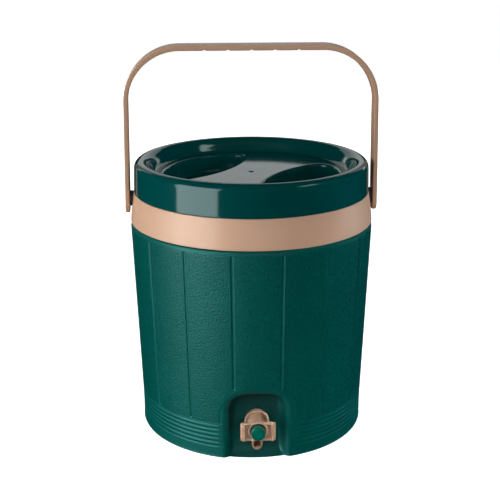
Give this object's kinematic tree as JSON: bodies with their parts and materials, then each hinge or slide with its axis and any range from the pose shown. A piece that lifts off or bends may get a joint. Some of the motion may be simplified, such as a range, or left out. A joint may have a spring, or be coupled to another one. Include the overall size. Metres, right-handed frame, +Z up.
{
  "type": "insulated drinks jug",
  "caption": "Round insulated drinks jug with a staved body, bail handle, screw-on lid with finger wells and a push-button tap in a low front niche.",
  "frame": {"origin": "centre of the base, on the surface the jug stands on", "axes": "+Z up along the axis of the body, the tap faces -Y, the handle's pivots lie along X"},
  "size_m": [0.27, 0.2688, 0.4142],
  "materials": {
    "green_textured": "pebbled satin panels between smooth grooves",
    "green_gloss": "polished",
    "button_green": "semi-gloss",
    "beige_plastic": "satin moulded",
    "white_food_plastic": "satin moulded",
    "insulation_foam": "closed-cell polyurethane foam",
    "silicone": "translucent white, soft",
    "black_rubber": "soft",
    "spring_steel": "drawn wire"
  },
  "bodies": {
    "jug": {"outer_shell": "green_textured", "base_plate": "green_textured", "base_fill_plug": "green_textured", "foam_core": "insulation_foam", "inner_liner": "white_food_plastic", "collar_band": "beige_plastic", "pivot_pins": "beige_plastic", "tap_body": "beige_plastic", "tap_flange": "beige_plastic", "tap_outer_gasket": "silicone", "tap_inner_gasket": "silicone", "tap_lock_nut": "beige_plastic", "tap_stem_oring": "black_rubber", "tap_spring": "spring_steel"},
    "handle": {"handle": "beige_plastic"},
    "gasket": {"lid_gasket": "silicone"},
    "lid": {"lid_cover": "green_gloss", "lid_foam": "insulation_foam", "lid_liner": "white_food_plastic", "lid_fill_plug": "white_food_plastic"},
    "button": {"tap_button": "button_green", "tap_stem": "beige_plastic", "tap_valve_seal": "black_rubber"}
  },
  "joints": [
    {"name": "handle_swing", "type": "hinge", "parent": "jug", "child": "handle", "pos_m": [0, 0, 0.2515], "axis": [1, 0, 0], "range_deg": [-120, 120]},
    {"name": "lid_rise", "type": "slide", "parent": "jug", "child": "gasket", "axis": [0, 0, 1], "range_m": [0, 0.0601]},
    {"name": "lid_turn", "type": "hinge", "parent": "gasket", "child": "lid", "pos_m": [0, 0, 0.262], "axis": [0, 0, 1], "range_deg": [0, 540]},
    {"name": "button_push", "type": "slide", "parent": "jug", "child": "button", "axis": [0, 1, 0], "range_m": [0, 0.0036], "stiffness_N_per_m": 400, "springref_m": -0.006, "deforming": ["tap_spring"]}
  ],
  "couplings": [
    {"joint": "lid_rise", "follows": "lid_turn", "m_per_rad": 0.0063662}
  ]
}
